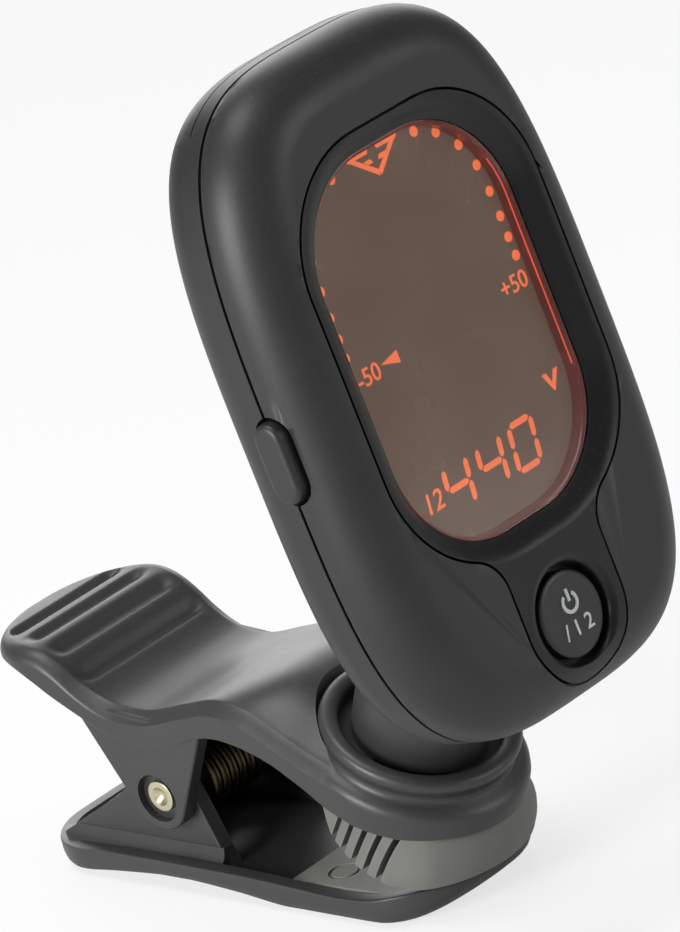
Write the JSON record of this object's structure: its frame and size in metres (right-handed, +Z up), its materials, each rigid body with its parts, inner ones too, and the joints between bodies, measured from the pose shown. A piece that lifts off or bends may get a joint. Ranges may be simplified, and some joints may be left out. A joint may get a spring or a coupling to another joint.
{
  "type": "clip-on tuner",
  "caption": "Clip-on instrument tuner: a spring clip with padded jaws carries a turning, tilting display head with an illuminated screen, a mode button and a side button.",
  "frame": {"origin": "middle of the flat stretch of the clip's underside, below the jaws, on the plane it stands on", "axes": "+Z up, away from the table; -Y towards the display side and the jaw tips; X along the hinge pins, +X to the right of someone reading the display"},
  "size_m": [0.0392, 0.0684, 0.0793],
  "materials": {
    "clip_plastic": "satin moulded plastic, slightly glossy",
    "case_plastic": "fine-grained satin plastic",
    "button_plastic": "satin plastic",
    "pad_rubber": "matt grey rubber",
    "pad_rubber_light": "matt light grey rubber",
    "pin_brass": "turned, pale brass",
    "spring_steel": "drawn spring wire",
    "nylon": "natural nylon",
    "screw_steel": "zinc-plated steel",
    "lens_clear": "clear polished acrylic",
    "lcd_glass": "negative liquid crystal panel",
    "light_guide": "edge-lit light guide",
    "zebra_rubber": "striped conductive rubber",
    "board": "glass-fibre circuit board",
    "chip": "moulded chip package",
    "switch_metal": "stamped tactile switch",
    "piezo_brass": "piezo sensor disc",
    "cell_steel": "coin cell case",
    "contact_metal": "plated spring contact"
  },
  "bodies": {
    "lower_jaw": {"lower_arm": "clip_plastic", "lower_jaw_pad": "pad_rubber_light", "torsion_spring": "spring_steel"},
    "upper_jaw": {"upper_arm": "clip_plastic", "upper_jaw_pad": "pad_rubber", "hinge_pin": "pin_brass"},
    "post": {"swivel_post": "clip_plastic", "swivel_washer": "nylon", "swivel_screw": "screw_steel"},
    "head": {"friction_washers": "nylon", "tilt_screw": "screw_steel", "tilt_nut": "screw_steel", "case_screws": "screw_steel", "front_shell": "case_plastic", "rear_shell": "case_plastic", "face_bezel": "case_plastic", "display_lens": "lens_clear", "lcd_panel": "lcd_glass", "backlight": "light_guide", "zebra_strip": "zebra_rubber", "circuit_board": "board", "controller_chip": "chip", "mode_switch": "switch_metal", "side_switch": "switch_metal", "piezo_disc": "piezo_brass", "coin_cell": "cell_steel", "negative_contact": "contact_metal", "positive_contact": "contact_metal"},
    "mode_key": {"mode_button": "button_plastic"},
    "side_key": {"side_button": "button_plastic"},
    "battery_door": {"battery_cover": "case_plastic"}
  },
  "joints": [
    {"name": "jaw_hinge", "type": "hinge", "parent": "lower_jaw", "child": "upper_jaw", "pos_m": [0, 0.0175, 0.0092], "axis": [-1, 0, 0], "range_deg": [0, 28], "stiffness_Nm_per_rad": 0.35, "springref_deg": -34.38, "deforming": ["torsion_spring"]},
    {"name": "post_swivel", "type": "hinge", "parent": "upper_jaw", "child": "post", "pos_m": [0, -0.0082, 0.016], "axis": [0, -0.4226, 0.9063], "range_deg": [-180, 180]},
    {"name": "head_tilt", "type": "hinge", "parent": "post", "child": "head", "pos_m": [0, -0.012, 0.02416], "axis": [1, 0, 0], "range_deg": [-60, 15]},
    {"name": "mode_press", "type": "slide", "parent": "head", "child": "mode_key", "axis": [0, 0.9794, -0.2021], "range_m": [0, 0.00045], "stiffness_N_per_m": 1500, "springref_m": -0.0002},
    {"name": "side_press", "type": "slide", "parent": "head", "child": "side_key", "axis": [1, 0, 0], "range_m": [0, 0.00045], "stiffness_N_per_m": 1500, "springref_m": -0.0002},
    {"name": "battery_cover_slide", "type": "slide", "parent": "head", "child": "battery_door", "axis": [0, 0.2021, 0.9794], "range_m": [0, 0.03]}
  ]
}
